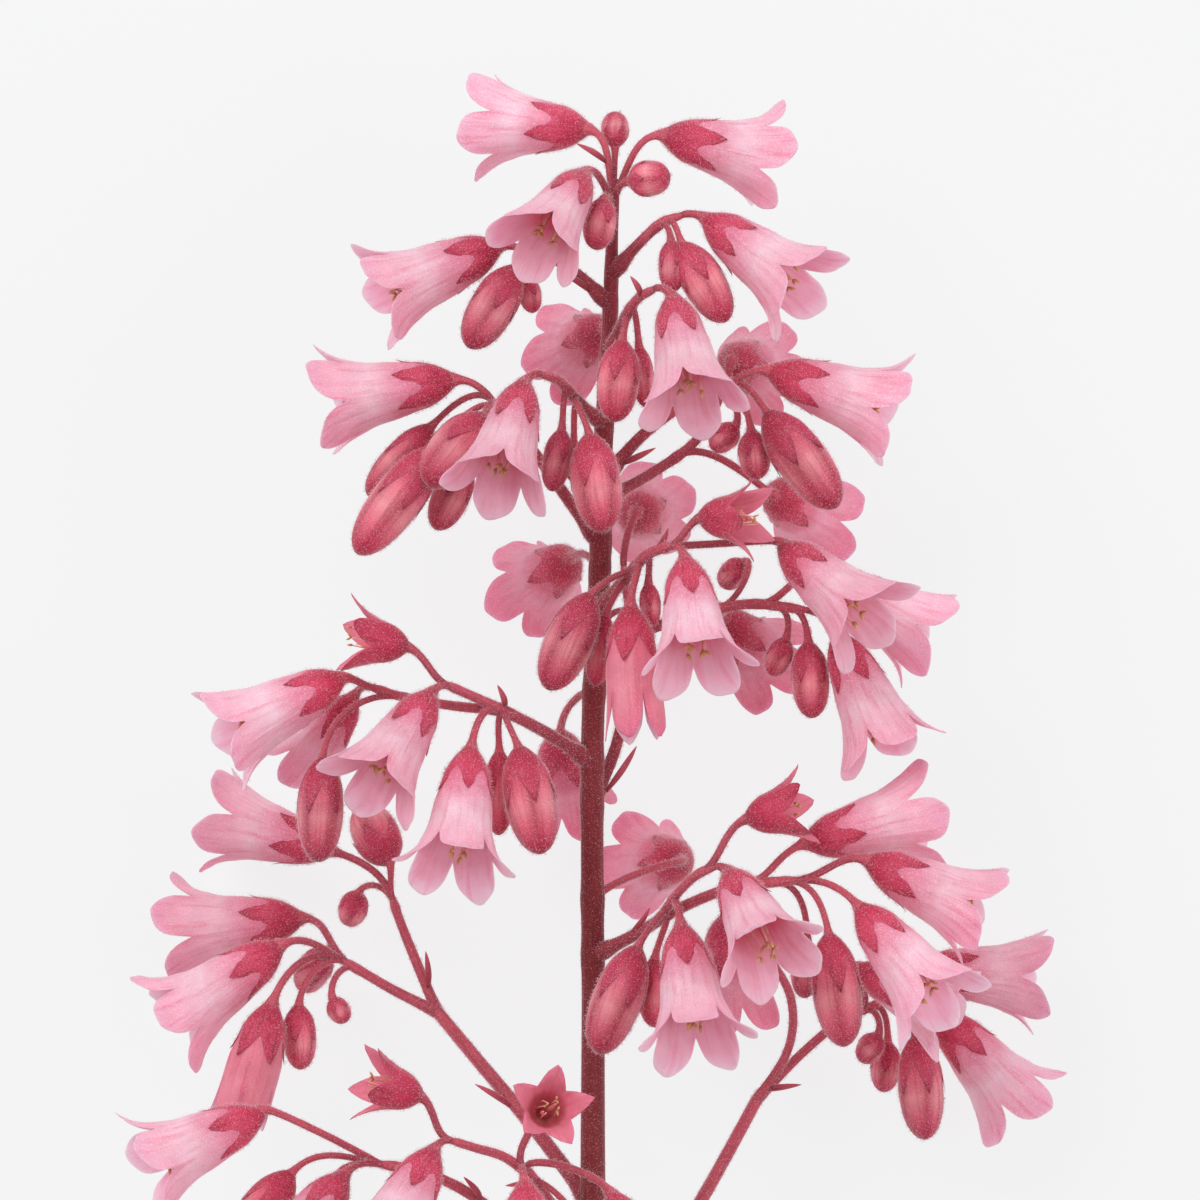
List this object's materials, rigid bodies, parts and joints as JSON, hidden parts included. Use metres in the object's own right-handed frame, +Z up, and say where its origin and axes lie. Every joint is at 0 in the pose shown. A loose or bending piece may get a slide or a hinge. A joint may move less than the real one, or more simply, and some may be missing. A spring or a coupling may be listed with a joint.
{
  "type": "heuchera plant",
  "caption": "Cut flowering stem of a heuchera plant, laid flat: a straight deep red stem with arching side sprays of nodding pink bells, buds and spent calyx cups.",
  "frame": {"origin": "on the surface the stem lies on, under the middle of the whole plant", "axes": "+Y along the main stem from its cut end to its flowering tip, +Z up from the surface, +X to the right seen from above with the tip away"},
  "size_m": [0.0958, 0.148, 0.0531],
  "materials": {
    "stem": "matt, softly hairy, deep red",
    "spray": "matt, softly hairy, deep rose",
    "bell": "silky and slightly see-through, pale pink"
  },
  "bodies": {
    "root": {"stem": "stem", "spray_upper_right": "spray", "spray_upper_left": "spray", "spray_front_high": "spray", "spray_front_left": "spray", "spray_mid_left": "spray", "spray_mid_right": "spray", "spray_back_high": "spray", "spray_back_mid": "spray", "spray_front_right": "spray", "spray_right": "spray", "spray_left": "spray", "spray_low_right": "spray", "spray_back_left": "spray", "spray_back_right": "spray", "spray_low_left": "spray", "spray_front_low": "spray", "bell_01": "bell", "bell_02": "bell", "bell_03": "bell", "bell_04": "bell", "bell_05": "bell", "bell_06": "bell", "bell_07": "bell", "bell_08": "bell", "bell_09": "bell", "bell_10": "bell", "bell_11": "bell", "bell_12": "bell", "bell_13": "bell", "bell_14": "bell", "bell_15": "bell", "bell_16": "bell", "bell_17": "bell", "bell_18": "bell", "bell_19": "bell", "bell_20": "bell", "bell_21": "bell", "bell_22": "bell", "bell_23": "bell", "bell_24": "bell", "bell_25": "bell", "bell_26": "bell", "bell_27": "bell", "bell_28": "bell", "bell_29": "bell", "bell_30": "bell", "bell_31": "bell", "bell_32": "bell", "bell_33": "bell", "bell_34": "bell", "bell_35": "bell", "bell_36": "bell", "bell_37": "bell", "bell_38": "bell", "bell_39": "bell", "bell_40": "bell", "bell_41": "bell", "bell_42": "bell"}
  },
  "joints": []
}
